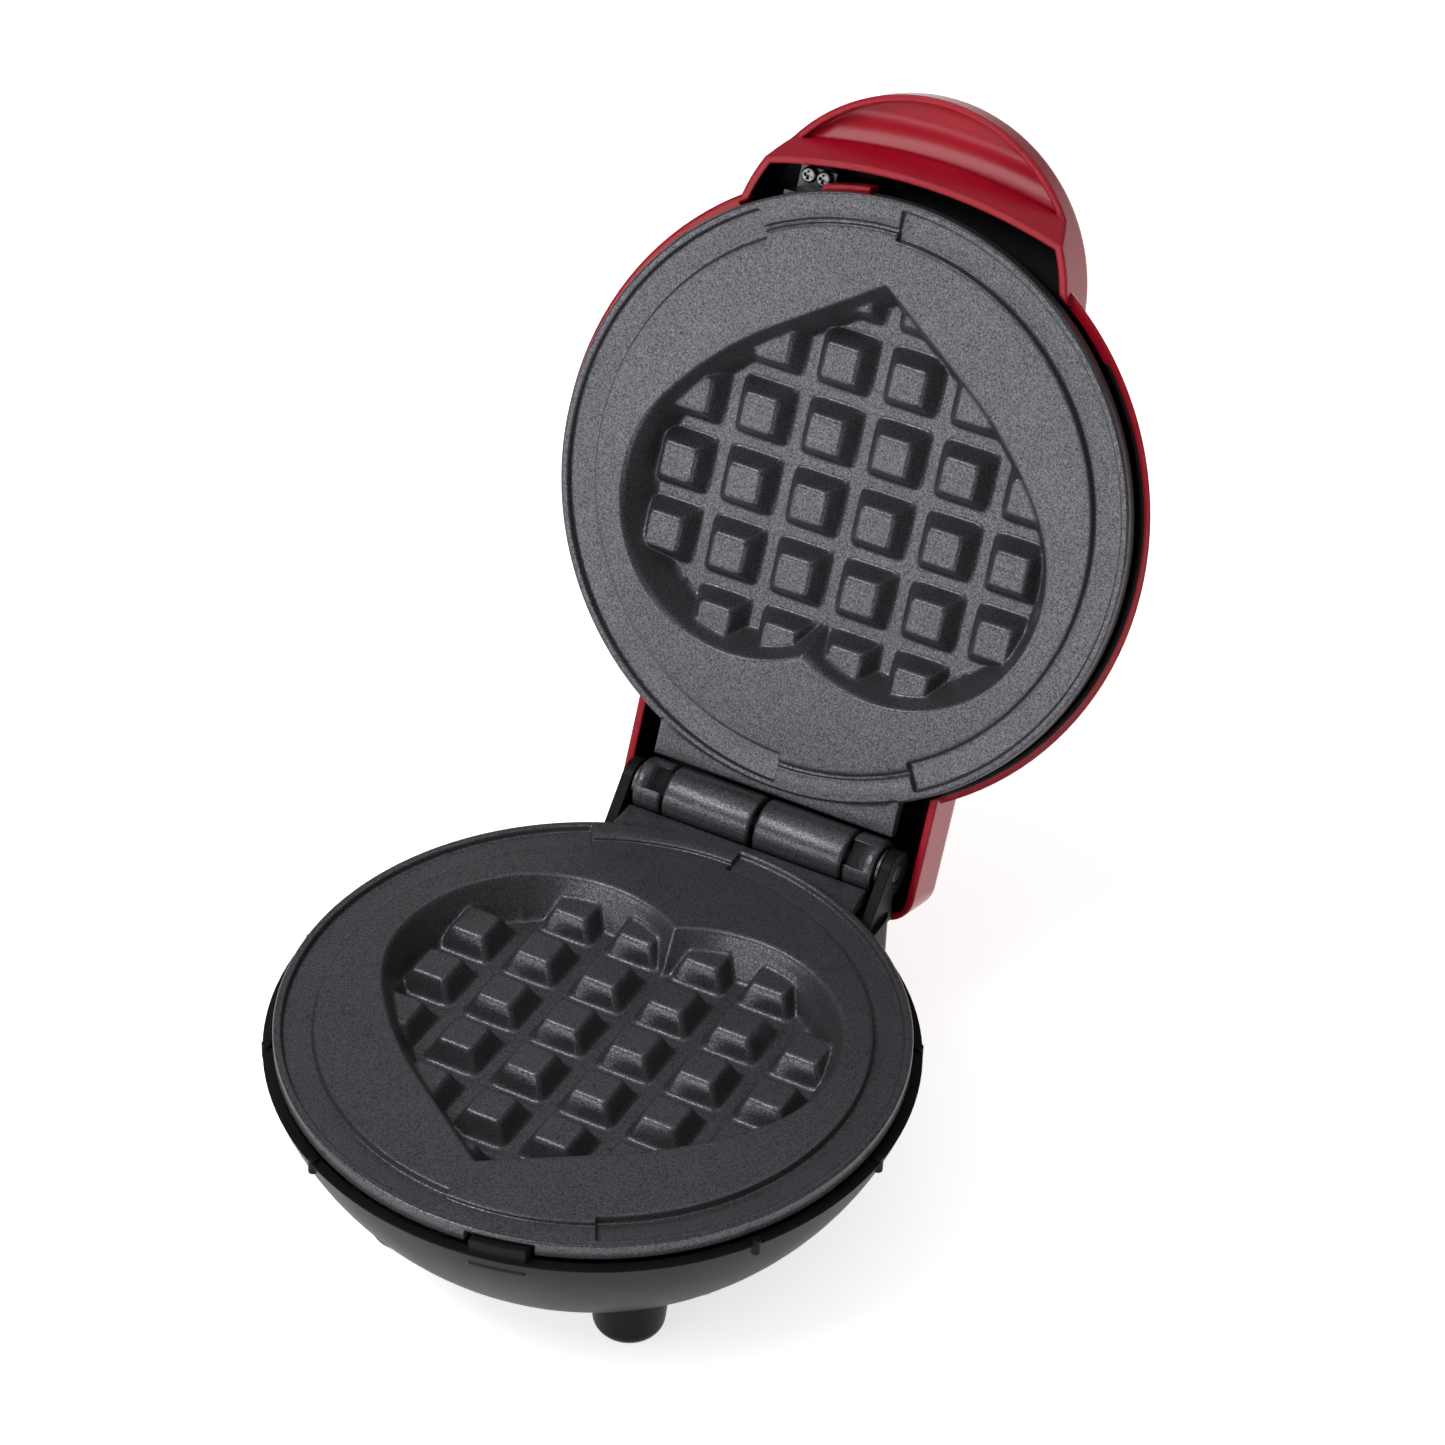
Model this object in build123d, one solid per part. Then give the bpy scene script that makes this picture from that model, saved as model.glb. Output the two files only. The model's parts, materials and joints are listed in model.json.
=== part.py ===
from build123d import *
import os
from math import cos, radians, sin

# Waffle maker with a heart-shaped mould, lid held open.
# Modelled about the cooking face of the lower plate: X to the right, Y towards the hinge, Z up.
# Every piece is then lifted so that the feet stand on Z = 0, see place().

# --- driving dimensions, millimetres ---
foot_drop = 42.0            # from the cooking face down to the table
depth_centre = 36.4         # Y of the middle of the open machine, measured from the plate's centre
open_angle = 112.0          # lid opening from closed
cook_gap = 1.0              # between the two cooking faces when the lid is shut

# plates: one casting used twice
plate_radius = 59.0
flange_thickness = 3.4
land_radius = 51.5          # edge of the inner land, where the drip channel starts
lip_inner_radius = 57.4
channel_depth = 1.2
bridge_angle = 30.0         # each bridge across the drip channel spans this much
groove_inner_radius = 53.0
groove_outer_radius = 54.1
groove_depth = 0.6
tab_half_width = 26.0
heart_depth = 8.3
heart_draft = 24.7
heart_tip_y = -42.9
heart_side_angle = 55.5     # of the straight sides from the Y axis
side_arc_radius = 73.7
lobe_x = 15.8
lobe_y = 6.8
lobe_radius = 28.9
lobe_side_angle = -34.2     # where the side arc meets the lobe arc
pan_wall = 2.4
pan_floor = 2.7
block_pitch = 14.23
block_first_y = 3.5         # centre of the row just behind the plate's centre
block_top = 7.1
block_sink = 3.75           # block tops below the land
block_height = heart_depth - block_sink
block_base = block_top + 2 * block_height * 0.46
plate_boss_radius = 3.4
plate_boss_bottom = -19.6
front_boss_x = 37.7
front_boss_y = -26.4
rear_boss_y = 44.0

# hinge
hinge_y = 66.3
hinge_z = cook_gap / 2
knuckle_radius = 5.6
pin_radius = 2.0
pin_clearance = 0.05
inner_knuckle = (0.5, 19.5)
outer_knuckle = (20.0, 26.0)
ear_inner_x = 27.2
ear_outer_x = 29.4
ear_radius = 4.5

# heater, reflector and their fixings
ring_radius = 33.0
heater_radius = 3.2
heater_z = -14.3
reflector_radius = 49.9
reflector_z = plate_boss_bottom
sheet = 0.6
strap_sheet = 1.0
strap_width = 7.0
strap_foot = 2.6
clamp_turns = (0, 180, 270)
clamp_screw_depth = 1.4

# base housing
bowl_sphere_radius = 64.1
bowl_sphere_z = 15.45
bowl_rim_z = -4.4
bowl_floor_z = -37.5
wall = 2.2
neck_half_width = 30.4
neck_rear_y = 64.9
neck_top_z = -6.4
neck_floor_z = -30.0
foot_top_radius = 7.7
foot_tread_radius = 6.5
foot_rounding = 3.2
front_foot_x = 23.9
front_foot_y = -27.8
rear_foot_x = 22.6
rear_foot_y = 57.1
cover_radius = 24.0
gland_z = -22.0
cord_radius = 3.2
gland_reach = 9.0
clamp_y = 55.0

# lid shell
shell_rim_z = 4.2           # lower edge of the hood and of the lip
dome_rim_z = 6.4            # lower edge of the dome all round
shell_sphere_radius = 64.96
shell_sphere_z = -15.2
shell_top_z = 29.5
crown_radius = 320.0
shoulder_radius = 13.0
shell_wall = 2.0
hood_rim_half_width = 32.6
hood_wall = 1.5
hood_rear_y = 77.3
hood_draft = 2.0
hood_top_z = 19.0
handle_radius = 34.9
handle_centre_y = -43.0
handle_wall = 1.5           # beside the hollow behind the handle
handle_rim = 1.3            # around the finger scoop
handle_edge_z = 9.6
handle_top_z = 17.5
lip_arc_radius = 113.75     # the lip, the ramp and the scoop share one centre behind the lid
lip_front_y = -62.1
lip_width = 1.2
ramp_width = 3.2
scoop_width = 10.2
scoop_section_radius = 10.0
scoop_edge = 1.3            # depth of the scoop at its edges
pocket_roof_z = 15.0
bracket_z = 10.2
bracket_screw_xs = (-23.6, -20.4)
bracket_screw_y = -57.0
bracket_margin = 2.2
lens_y = -36.0

terminal_seat_z = bowl_floor_z + 4.5
clamp_seat_z = gland_z - cord_radius
screw_head_z = -25.0
pan_seat_z = -heart_depth - pan_floor
pin_end_x = 4.5             # where each lead meets its cold pin
pin_end_y = 33.2
clamp_screw_reach = ring_radius - heater_radius - 0.15 - strap_sheet - strap_foot / 2
clamp_spots = []
for clamp_turn in clamp_turns:
    turn = radians(clamp_turn)
    clamp_spots.append((clamp_screw_reach * cos(turn), clamp_screw_reach * sin(turn)))
plate_boss_spots = [(front_boss_x, front_boss_y), (-front_boss_x, front_boss_y), (0, rear_boss_y)]


# --- helpers ---
def place(shape):
    """Move a shape from the plate's frame to the part's frame."""
    return Pos(0, -depth_centre, foot_drop) * shape


def opened(shape):
    """Swing a lid piece from shut to open about the hinge pin."""
    return shape.rotate(Axis((0, hinge_y, hinge_z), (1, 0, 0)), -open_angle)


def to_upper(shape):
    """Turn a lower-plate shape over, face down, as the lid carries it when shut."""
    return Pos(0, 0, cook_gap) * shape.rotate(Axis.Y, 180)


def rod(radius, x, y, z_low, z_high):
    """Upright cylinder."""
    height = z_high - z_low
    return Pos(x, y, z_low + height / 2) * Cylinder(radius, height)


def axle(radius, x_low, x_high, y=hinge_y, z=hinge_z):
    """Cylinder along X."""
    length = x_high - x_low
    return Pos((x_low + x_high) / 2, y, z) * Rot(0, 90, 0) * Cylinder(radius, length)


def block(x_low, x_high, y_low, y_high, z_low, z_high):
    """Box from its limits."""
    centre = Pos((x_low + x_high) / 2, (y_low + y_high) / 2, (z_low + z_high) / 2)
    return centre * Box(x_high - x_low, y_high - y_low, z_high - z_low)


def ring(inner, outer, z_low, z_high):
    """Upright tube."""
    return rod(outer, 0, 0, z_low, z_high) - rod(inner, 0, 0, z_low - 1, z_high + 1)


def wedge(radius, start, stop, z_low, z_high):
    """Pie slice between two compass angles, clockwise from +Y."""
    middle = radians((start + stop) / 2)
    a = radians(start)
    b = radians(stop)
    face = make_face(
        Polyline(
            (0, 0),
            (radius * sin(a), radius * cos(a)),
            (1.2 * radius * sin(middle), 1.2 * radius * cos(middle)),
            (radius * sin(b), radius * cos(b)),
            close=True,
        )
    )
    return Pos(0, 0, z_low) * extrude(face, amount=z_high - z_low)


def tube(points, radius, bend):
    """Round lead along straight runs joined by arcs."""
    path = FilletPolyline(*points, radius=bend)
    section = Plane(origin=path @ 0, z_dir=path % 0) * Circle(radius)
    return sweep(section, path=path)


def screw(x, y, head_z, tip_z, shank=1.4, head=2.8, head_height=1.8):
    """Pan-head screw along Z with a cross recess; the head is on the side away from the tip."""
    up = 1 if tip_z > head_z else -1
    low = min(head_z, tip_z)
    high = max(head_z, tip_z)
    body = rod(shank, x, y, low, high)
    cap_low = head_z - head_height if up > 0 else head_z
    cap = rod(head, x, y, cap_low, cap_low + head_height)
    outer_face = cap.faces().sort_by(Axis.Z)[0 if up > 0 else -1]
    cap = fillet(outer_face.edges(), head_height * 0.45)
    slot_z = cap_low if up > 0 else cap_low + head_height
    slots = Pos(x, y, slot_z) * (Box(head * 1.2, 0.7, 1.6) + Box(0.7, head * 1.2, 1.6))
    return body + cap - slots


# --- the casting ---
def heart_half():
    """Right half of the heart and part of the left one, as one convex face."""
    slope = radians(heart_side_angle)
    side = radians(lobe_side_angle)
    back = radians(150)
    centre_x = lobe_x + (lobe_radius - side_arc_radius) * cos(side)
    centre_y = lobe_y + (lobe_radius - side_arc_radius) * sin(side)
    touch = (centre_x + side_arc_radius * cos(slope), centre_y - side_arc_radius * sin(slope))
    joint = (lobe_x + lobe_radius * cos(side), lobe_y + lobe_radius * sin(side))
    middle = (side - slope) / 2
    bulge = (centre_x + side_arc_radius * cos(middle), centre_y + side_arc_radius * sin(middle))
    top = (lobe_x + lobe_radius * cos(radians(60)), lobe_y + lobe_radius * sin(radians(60)))
    far = (lobe_x + lobe_radius * cos(back), lobe_y + lobe_radius * sin(back))
    left = (-15.0, heart_tip_y + 15.0 / (sin(slope) / cos(slope)))
    outline = [
        Line((0, heart_tip_y), touch),
        ThreePointArc(touch, bulge, joint),
        ThreePointArc(joint, top, far),
        Line(far, left),
        Line(left, (0, heart_tip_y)),
    ]
    return make_face(outline)


def heart_prism(growth, depth):
    """Drafted heart-shaped solid hanging from Z = 0."""
    face = heart_half()
    if growth:
        face = offset(face, amount=growth, kind=Kind.INTERSECTION)
    half = extrude(face, amount=depth, dir=(0, 0, -1), taper=heart_draft)
    return half + mirror(half, about=Plane.YZ)


def grid_block(x, y):
    """Truncated pyramid that stands on the mould's floor."""
    foot = Plane((x, y, -heart_depth - 0.2)) * Rectangle(block_base, block_base)
    head = Plane((x, y, -block_sink)) * Rectangle(block_top, block_top)
    return loft([foot, head])


def casting():
    """Plate casting, cooking face up at Z = 0."""
    body = rod(plate_radius, 0, 0, -flange_thickness, 0)
    body += block(-tab_half_width, tab_half_width, 40, hinge_y - knuckle_radius - 0.5, -flange_thickness, 0)
    # drip channel: two arcs, left out at the bridges
    channel = ring(land_radius, lip_inner_radius, -channel_depth, 1)
    for start in (-bridge_angle, 180 - bridge_angle):
        channel -= wedge(80, start, start + bridge_angle, -5, 5)
    body -= channel
    groove = ring(groove_inner_radius, groove_outer_radius, -groove_depth, 1)
    body -= groove
    # pan under the mould and the seat of the heater ring
    body += heart_prism(pan_wall, heart_depth + pan_floor)
    body += ring(ring_radius - 7, ring_radius + 7, -heart_depth - pan_floor, -flange_thickness)
    mould = heart_prism(0, heart_depth)
    blocks = None
    for column in range(-3, 3):
        for row in range(-3, 3):
            one = grid_block((column + 0.5) * block_pitch, block_first_y + row * block_pitch)
            clipped = one & mould
            if clipped is not None and clipped.volume > 15:
                blocks = clipped if blocks is None else blocks + clipped
    body -= mould
    body += blocks
    # notch in the skirt for the snap tab
    body -= ring(57.3, 60, -flange_thickness - 1, -1.0) & block(7.0, 19.6, -62, -50, -5, 0)
    # knuckles, each carried by a strap of the flange
    for low, high in (inner_knuckle, (-outer_knuckle[1], -outer_knuckle[0])):
        body += axle(knuckle_radius, low, high)
        body += block(low, high, hinge_y - 8, hinge_y, -flange_thickness, 0)
    body -= axle(pin_radius + pin_clearance, -40, 40)
    window = block(-23.2, -19.0, -2.6, 2.6, 3.2, 9.0)
    body -= Pos(0, hinge_y, hinge_z) * Rot(30, 0, 0) * window
    # tapped holes for the heater clamps
    for x, y in clamp_spots:
        body -= rod(0.95, x, y, pan_seat_z - 1, pan_seat_z + clamp_screw_depth + 0.2)
    # screw bosses
    for x, y in plate_boss_spots:
        body += rod(plate_boss_radius, x, y, plate_boss_bottom, -flange_thickness)
        body -= rod(1.4, x, y, plate_boss_bottom - 1, plate_boss_bottom + 9)
    return body


# --- heater and reflector, modelled under the lower plate ---
def heater():
    """Tubular element: an open ring with a cold pin at each end."""
    arc = CenterArc((0, 0, heater_z), ring_radius, 105, 330)
    body = sweep(Plane(origin=arc @ 0, z_dir=arc % 0) * Circle(heater_radius), path=arc)
    for end, flow in ((arc @ 0, -1), (arc @ 1, 1)):
        heading = (arc % (0 if flow < 0 else 1)) * flow
        pin_plane = Plane(origin=end - heading * 0.5, z_dir=heading)
        body += extrude(pin_plane * Circle(1.1), amount=5.5)
    return body


def heater_clamps():
    """Three straps over the heater ring."""
    seat = pan_seat_z
    foot_z = seat - strap_sheet
    inner = heater_radius + 0.15
    outer = inner + strap_sheet
    reach = outer + strap_foot
    left = [
        (-inner, heater_z),
        (-inner, seat),
        (-reach, seat),
        (-reach, foot_z),
        (-outer, foot_z),
        (-outer, heater_z),
    ]
    right = [(-x, z) for x, z in reversed(left)]
    outline = Polyline(*left) + Polyline(*right)
    outline += ThreePointArc((-outer, heater_z), (0, heater_z - outer), (outer, heater_z))
    outline += ThreePointArc((inner, heater_z), (0, heater_z - inner), (-inner, heater_z))
    profile = make_face(Plane.XZ * outline)
    strap = extrude(profile, amount=strap_width / 2, both=True)
    strap -= rod(0.95, clamp_screw_reach - ring_radius, 0, seat - 3, seat + 1)
    return [Rot(0, 0, turn) * Pos(ring_radius, 0, 0) * strap for turn in clamp_turns]


def heater_clamp_screws():
    """One screw on the inner foot of each strap."""
    head_seat = pan_seat_z - strap_sheet
    tip = pan_seat_z + clamp_screw_depth
    return [screw(x, y, head_seat, tip, shank=0.9, head=1.1, head_height=1.0) for x, y in clamp_spots]


def reflector():
    """Bright dish between the heater and the housing."""
    depth = 5.0
    outer = [
        (0, reflector_z),
        (0, reflector_z - sheet),
        (reflector_radius, reflector_z - sheet),
        (reflector_radius + 2.4, reflector_z + depth),
        (reflector_radius + 2.4 - sheet, reflector_z + depth),
        (reflector_radius - sheet / 2, reflector_z),
    ]
    dish = revolve(Plane.XZ * make_face(Polyline(*outer, close=True)), axis=Axis.Z)
    for x, y in plate_boss_spots:
        dish -= rod(1.7, x, y, reflector_z - 2, reflector_z + 1)
    dish -= rod(10, 0, 0, reflector_z - 2, reflector_z + 1)
    for x in (-pin_end_x, pin_end_x):
        dish -= rod(2.2, x, pin_end_y, reflector_z - 2, reflector_z + 1)
        dish -= block(x - 1.4, x + 1.4, 41, 60, reflector_z - 2, reflector_z + depth + 1)
    return dish


# --- base ---
def bowl_solid(thickness):
    """Solid of the bowl's outside, or of its inside when a wall thickness is taken off."""
    ball = Pos(0, 0, bowl_sphere_z) * Sphere(bowl_sphere_radius - thickness)
    return ball & rod(80, 0, 0, bowl_floor_z + thickness, bowl_rim_z + (5 if thickness else 0))


def neck_solid(inset):
    """Box behind the bowl that carries the hinge ears."""
    body = block(
        -neck_half_width + inset,
        neck_half_width - inset,
        25,
        neck_rear_y - inset,
        neck_floor_z + inset,
        neck_top_z - inset,
    )
    uprights = body.edges().filter_by(Axis.Z).sort_by(Axis.Y)[-2:]
    return fillet(uprights, 5.0 - inset)


def ear(x_low, x_high):
    """Rounded lug that holds one end of the hinge pin."""
    round_end = Pos(hinge_y, hinge_z) * Circle(ear_radius)
    web = make_face(
        Polyline(
            (hinge_y - 15, neck_top_z - 3),
            (hinge_y - 1.5, neck_top_z - 3),
            (hinge_y - 1.5, hinge_z - ear_radius + 0.3),
            (hinge_y, hinge_z),
            (hinge_y - ear_radius * 0.6, hinge_z + ear_radius * 0.8),
            close=True,
        )
    )
    face = round_end + web
    lug = Pos(x_low, 0, 0) * extrude(Plane.YZ * face, amount=x_high - x_low)
    return lug


def base_housing():
    """Bowl, neck and ears in one moulding."""
    outside = bowl_solid(0) + neck_solid(0)
    inside = bowl_solid(wall) + neck_solid(wall)
    body = outside - inside
    # ears and the front snap tab
    for low, high in ((ear_inner_x, ear_outer_x), (-ear_outer_x, -ear_inner_x)):
        body += ear(low, high)
    body -= axle(pin_radius + pin_clearance, -40, 40)
    body += ring(57.8, 60.2, bowl_rim_z - 3, -1.5) & block(8.5, 18.7, -62, -50, -20, 0)
    # small ribs around the rim
    for angle in (62, 92, 122, 207, 238, 268, 298):
        x = 60.2 * sin(radians(angle))
        y = 60.2 * cos(radians(angle))
        body += rod(0.9, x, y, bowl_rim_z - 2.5, bowl_rim_z + 0.7)
    # posts for the plate screws
    for x, y in plate_boss_spots:
        post = rod(4.2, x, y, bowl_floor_z, reflector_z - sheet - 0.1) & bowl_solid(0.6)
        body += post
        body -= rod(1.6, x, y, bowl_floor_z - 5, reflector_z + 5)
        body -= rod(3.1, x, y, bowl_floor_z - 5, screw_head_z)
    # hatch in the floor with three bosses for its screws
    body -= rod(cover_radius - 4, 0, 0, bowl_floor_z - 1, bowl_floor_z + wall + 1)
    body -= rod(cover_radius + 0.3, 0, 0, bowl_floor_z - 1, bowl_floor_z + 1.2)
    for x, y in hatch_spots():
        body += rod(3.0, x, y, bowl_floor_z + 1.2, bowl_floor_z + 8)
        body -= rod(1.25, x, y, bowl_floor_z, bowl_floor_z + 7)
    # pads inside for the terminal block and the cord clamp
    body += block(-13, 13, 22, 34, bowl_floor_z + 1.4, terminal_seat_z)
    body += block(-11, 11, clamp_y - 3, clamp_y + 3, neck_floor_z + 1, clamp_seat_z)
    for x in (-7.5, 7.5):
        body -= rod(1.35, x, clamp_y, clamp_seat_z - 4.2, clamp_seat_z + 1)
    # cord outlet in the rear wall
    body -= Pos(0, neck_rear_y, gland_z) * Rot(90, 0, 0) * Cylinder(5.25, 20)
    return body


def hatch_spots():
    """Screw positions on the hatch."""
    reach = cover_radius - 2.6
    return [(reach * sin(radians(a)), reach * cos(radians(a))) for a in (60, 180, 300)]


def bottom_cover():
    """Round hatch with slots that let heat out."""
    body = rod(cover_radius, 0, 0, bowl_floor_z, bowl_floor_z + 1.2)
    body += ring(cover_radius - 6.2, cover_radius - 4.4, bowl_floor_z + 1.0, bowl_floor_z + 3.2)
    for index in range(-2, 3):
        half = 12 - 1.5 * abs(index)
        body -= block(-half, half, index * 5 - 1, index * 5 + 1, bowl_floor_z - 1, bowl_floor_z + 4)
    for x, y in hatch_spots():
        body -= rod(1.45, x, y, bowl_floor_z - 1, bowl_floor_z + 5)
        body -= rod(3.2, x, y, bowl_floor_z + 1.2, bowl_floor_z + 5)
    return body


def foot(x, y):
    """Tapered foot with a round tread that plugs against the housing."""
    height = neck_floor_z + 1 + foot_drop
    stub = Pos(x, y, height / 2 - foot_drop) * Cone(foot_tread_radius, foot_top_radius, height)
    stub = fillet(stub.faces().sort_by(Axis.Z)[0].edges(), foot_rounding)
    return stub - bowl_solid(0) - neck_solid(0)


def hinge_pin():
    """Steel pin through both ears and all four knuckles."""
    pin = axle(pin_radius, -ear_outer_x, ear_outer_x)
    return chamfer(pin.edges().filter_by(GeomType.CIRCLE), 0.4)


def pin_washers():
    """Spacers between the outer knuckles and the ears."""
    pieces = []
    for low in (outer_knuckle[1] + 0.3, -outer_knuckle[1] - 0.9):
        pieces.append(axle(4.2, low, low + 0.6) - axle(pin_radius + pin_clearance, -40, 40))
    return pieces


def plate_screws():
    """Long screws from under the housing into the lower plate."""
    return [screw(x, y, screw_head_z, plate_boss_bottom + 8) for x, y in plate_boss_spots]


def hatch_screws():
    """Screws of the bottom hatch."""
    return [
        screw(x, y, bowl_floor_z, bowl_floor_z + 6.5, shank=1.2, head=2.4, head_height=1.2)
        for x, y in hatch_spots()
    ]


def thermostat():
    """Disc thermostat against the plate's floor, with two blades."""
    seat = pan_seat_z
    body = rod(8, 0, 0, seat - 5, seat - 0.05)
    body += rod(6, 0, 0, seat - 9, seat - 4)
    for x in (-3, 3):
        body += block(x - 0.4, x + 0.4, -2.5, 2.5, seat - 15, seat - 8)
    return body


def thermostat_clip():
    """Sprung bar that presses the thermostat up, screwed to the reflector."""
    top = reflector_z - sheet - 0.05
    body = block(-8.5, 8.5, -12, 12, top - 0.8, top) + block(-4, 4, -18, 18, top - 0.8, top)
    body -= rod(6.4, 0, 0, top - 3, top + 3)
    for y in (-15, 15):
        body += rod(2.6, 0, y, top - 1.8, top)
    return body


def thermal_fuse():
    """One-shot fuse in its sleeve under the reflector."""
    z = reflector_z - sheet - 2.3
    body = Pos(-17, 0, z) * Rot(90, 0, 0) * Cylinder(2.0, 15)
    body += Pos(-17, 0, z) * Rot(90, 0, 0) * Cylinder(0.6, 24)
    return body


def fuse_clip():
    """Saddle that holds the fuse to the reflector."""
    top = reflector_z - sheet
    profile = Pos(-17, top - 2.3) * Circle(2.9)
    profile += Pos(-17, top - 1.2) * Rectangle(5.8, 2.4)
    profile += Pos(-19.5, top - 0.4) * Rectangle(8, 0.8)
    profile -= Pos(-17, top - 2.3) * Circle(2.1)
    profile -= Pos(-17, top - 1.0) * Rectangle(4.2, 2.4)
    profile -= Pos(-17, top + 5) * Rectangle(20, 10)
    return Pos(0, 2.5, 0) * extrude(Plane.XZ * profile, amount=5)


def terminal_block():
    """Ceramic block with three pairs of wire holes."""
    body = block(-12, 12, 23, 33, terminal_seat_z, terminal_seat_z + 8)
    body = fillet(body.edges().filter_by(Axis.Z), 1.2)
    for x in (-7.5, 0, 7.5):
        body -= Pos(x, 28, terminal_seat_z + 4) * Rot(90, 0, 0) * Cylinder(1.5, 20)
        body -= rod(1.7, x, 28, terminal_seat_z + 5, terminal_seat_z + 9)
    return body


def terminal_screws():
    """Clamping screws of the terminal block."""
    top = terminal_seat_z + 8
    pieces = []
    for x in (-7.5, 0, 7.5):
        slot = block(x - 2, x + 2, 27.7, 28.3, top - 1.2, top)
        pieces.append(rod(1.6, x, 28, terminal_seat_z + 5.6, top - 0.4) - slot)
    return pieces


def cord_gland():
    """Bush where a mains cord leaves the neck; its bore is the mount."""
    outline = [
        (cord_radius, neck_rear_y - 5),
        (5.15, neck_rear_y - 5),
        (5.15, neck_rear_y),
        (7.2, neck_rear_y),
        (7.2, neck_rear_y + 2.0),
        (5.2, neck_rear_y + 2.8),
        (4.3, neck_rear_y + gland_reach),
        (cord_radius, neck_rear_y + gland_reach),
    ]
    bush = revolve(make_face(Polyline(*outline, close=True)), axis=Axis.Y)
    return Pos(0, 0, gland_z) * bush


def cord_clamp():
    """Bar that grips the cord on its pad."""
    bar_z = clamp_seat_z + 2 * cord_radius - 0.6
    body = block(-10, 10, clamp_y - 2.5, clamp_y + 2.5, bar_z, bar_z + 3)
    for x in (-7.5, 7.5):
        body += rod(2.4, x, clamp_y, clamp_seat_z, bar_z + 0.5)
        body -= rod(1.5, x, clamp_y, clamp_seat_z - 1, bar_z + 4)
    return body


def cord_clamp_screws():
    """Two screws of the cord clamp, standing on the bar."""
    top = clamp_seat_z + 2 * cord_radius + 2.4
    tip = clamp_seat_z - 3.6
    return [screw(x, clamp_y, top, tip, shank=1.3, head=2.4, head_height=1.4) for x in (-7.5, 7.5)]


def feed_leads():
    """Leads from the cord clamp to the terminal block."""
    z = terminal_seat_z + 4
    pieces = []
    for x in (-7.5, 7.5):
        route = [(x, 33.5, z), (x, 36, z), (x, 44, gland_z - 2), (x / 3, clamp_y - 3, gland_z)]
        pieces.append(tube(route, 1.2, 2.0))
    return pieces


def heater_lead(side):
    """Lead from the terminal block up through the reflector to one cold pin."""
    z = terminal_seat_z + 4
    x = side * 7.5
    end_x = side * pin_end_x
    route = [
        (x, 22.5, z),
        (x, 16, z),
        (x, 16, z + 6.5),
        (end_x, pin_end_y, z + 6.5),
        (end_x, pin_end_y, heater_z - 1.15),
    ]
    return tube(route, 1.1, 1.8)


# --- lid ---
def dome_solid(inset):
    """Solid of the dome's outside, or of its inside when a wall thickness is taken off."""
    low = dome_rim_z - (9 if inset else 0)
    side = Pos(0, shell_sphere_z) * Circle(shell_sphere_radius - inset)
    crown = Pos(0, shell_top_z - inset - crown_radius) * Circle(crown_radius)
    section = side & crown & (Pos(40, low + 50) * Rectangle(80, 100))
    section = fillet(section.vertices().sort_by(Axis.Y)[-2], shoulder_radius - inset)
    return revolve(Plane.XZ * section, axis=Axis.Z)


def hood_solid(inset):
    """Drafted box behind the dome that covers the hinge."""
    low = shell_rim_z - (6 if inset else 0)
    half = hood_rim_half_width - inset
    rear = hood_rear_y - inset
    face = Pos(0, (20 + rear) / 2) * Rectangle(2 * half, rear - 20)
    face = fillet(face.vertices().group_by(Axis.Y)[-1], 5.5 - inset * 1.6)
    height = hood_top_z - inset - shell_rim_z
    body = Pos(0, 0, shell_rim_z) * extrude(face, amount=height, taper=hood_draft)
    if inset:
        body += Pos(0, 0, low) * extrude(face, amount=shell_rim_z - low)
    else:
        body = fillet(body.faces().sort_by(Axis.Z)[-1].edges().group_by(Axis.Y)[-1], 4.0)
    return body


def handle_plan(radius):
    """Round plan of the handle, in front of the dome."""
    disc = Pos(0, handle_centre_y) * Circle(radius)
    return disc & (Pos(0, handle_centre_y - 50) * Rectangle(200, 100))


def about_lip_centre(section):
    """Turn a section about the upright axis that the lip, ramp and scoop share."""
    return Pos(0, lip_front_y + lip_arc_radius, 0) * revolve(Plane.XZ * section, axis=Axis.Z)


def handle_solid():
    """Lip that the fingers lift, with a ramp and a scoop under its front."""
    height = handle_top_z - shell_rim_z
    body = Pos(0, 0, shell_rim_z) * extrude(handle_plan(handle_radius), amount=height)
    front = body.edges().filter_by(GeomType.CIRCLE).group_by(Axis.Z)[-1]
    body = fillet(front, 3.0)
    ramp_low = lip_arc_radius + lip_width
    ramp_high = ramp_low + ramp_width
    under_front = make_face(
        Polyline(
            (ramp_low - 1, shell_rim_z - 2),
            (ramp_low, shell_rim_z),
            (ramp_high, handle_edge_z),
            (ramp_high + 60, handle_edge_z),
            (ramp_high + 60, shell_rim_z - 2),
            close=True,
        )
    )
    body -= about_lip_centre(under_front)
    half = scoop_width / 2
    section_z = handle_edge_z + scoop_edge - (scoop_section_radius**2 - half**2) ** 0.5
    strip = Pos(ramp_high + half, handle_edge_z) * Rectangle(scoop_width, 10)
    scoop = about_lip_centre(strip & (Pos(ramp_high + half, section_z) * Circle(scoop_section_radius)))
    return body - (scoop & extrude(handle_plan(handle_radius - handle_rim), amount=40))


def lip_pocket():
    """Hollow behind the handle, open towards the plate."""
    plan = handle_plan(handle_radius - handle_wall)
    plan &= Pos(0, lip_front_y + lip_arc_radius) * Circle(lip_arc_radius)
    return Pos(0, 0, shell_rim_z - 4) * extrude(plan, amount=pocket_roof_z - shell_rim_z + 4)


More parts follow.
